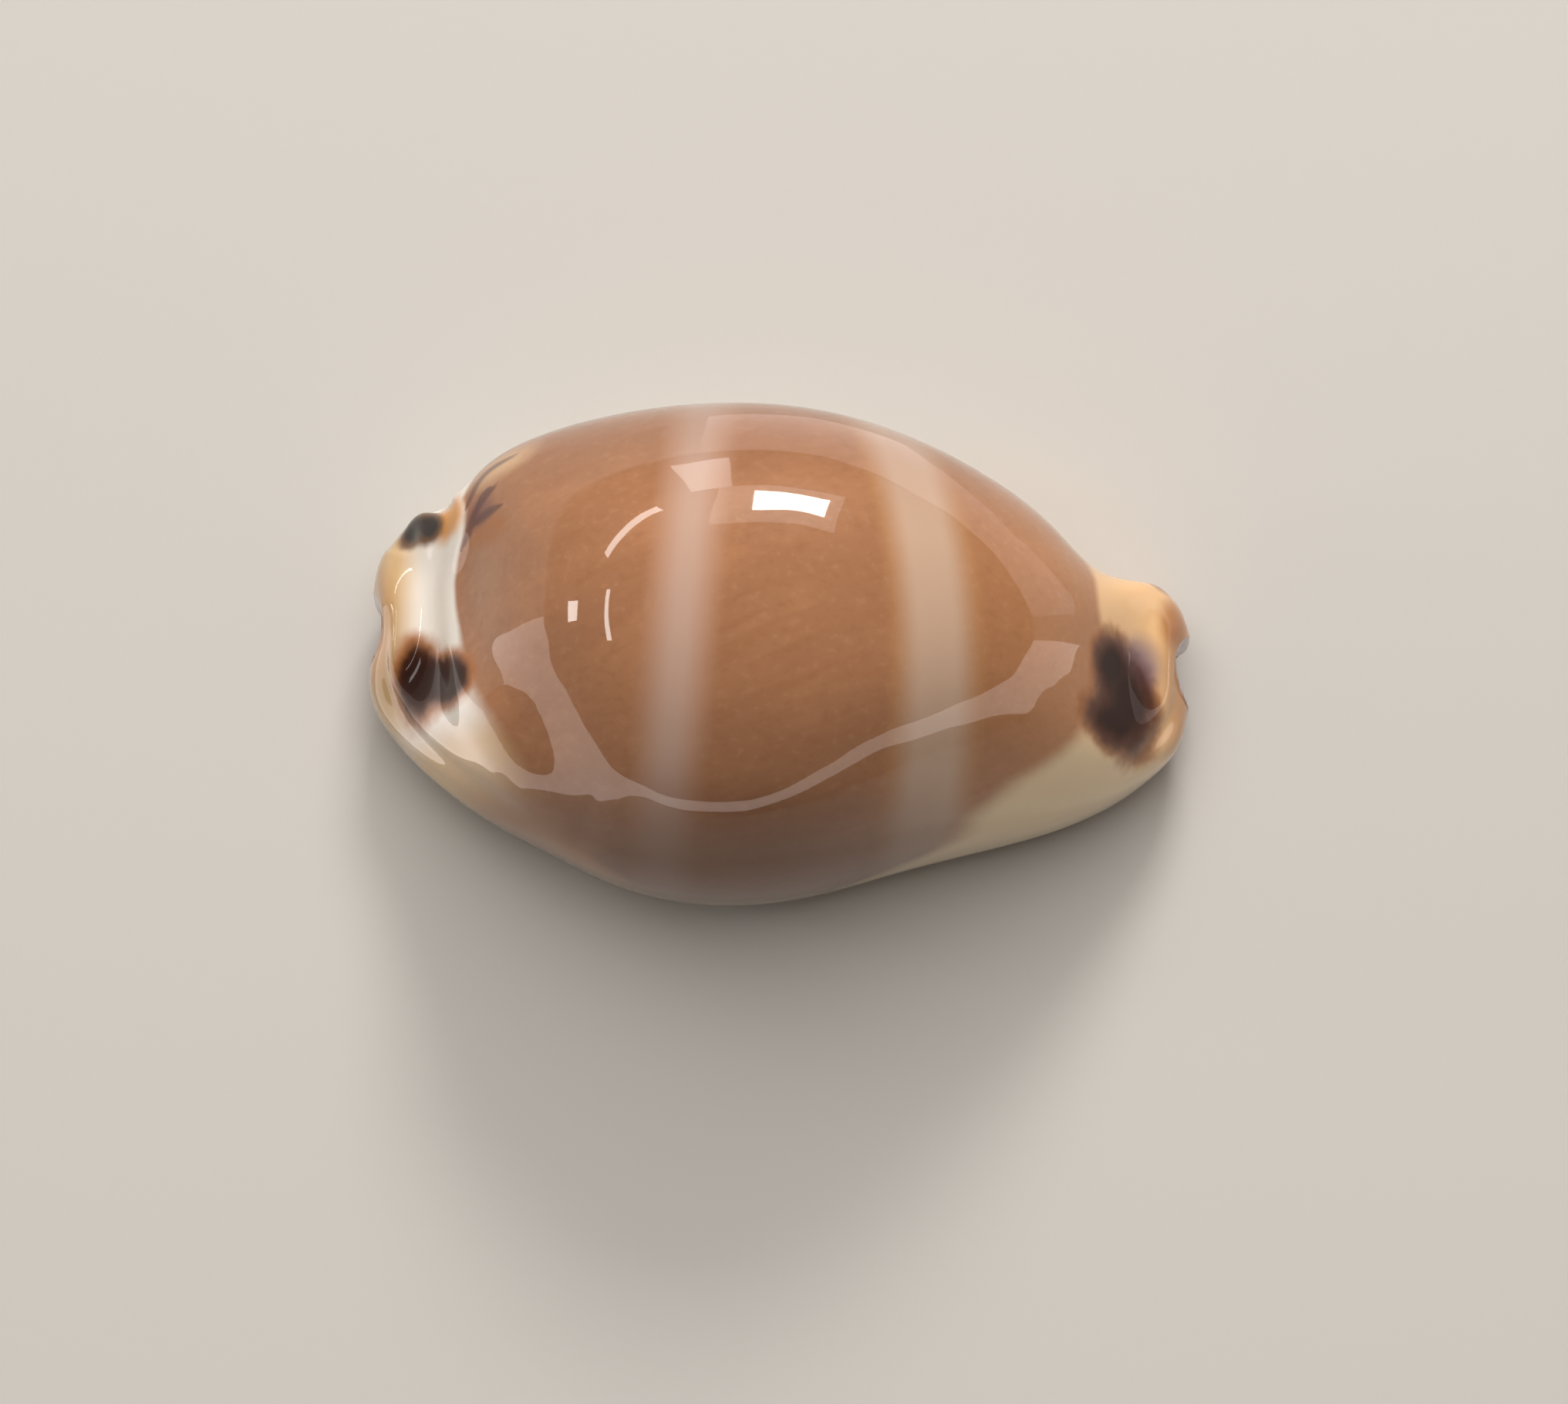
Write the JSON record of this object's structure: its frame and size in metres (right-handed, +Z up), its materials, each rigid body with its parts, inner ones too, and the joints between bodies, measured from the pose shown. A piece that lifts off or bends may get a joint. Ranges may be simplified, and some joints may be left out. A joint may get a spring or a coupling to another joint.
{
  "type": "cowrie shell",
  "caption": "Empty cowrie shell, a glossy egg-shaped dome with a flattened base, a narrow toothed aperture along the base and a notched canal at each end.",
  "frame": {"origin": "middle of the bounding box in plan, on the surface that the shell rests on", "axes": "+X from the rear canal to the front canal, +Y towards the inner, columellar lip, +Z up out of the back"},
  "size_m": [0.045, 0.0268, 0.0217],
  "materials": {
    "shell": "high gloss, porcelain-like natural shell"
  },
  "bodies": {
    "root": {"cowrie_shell": "shell"}
  },
  "joints": []
}
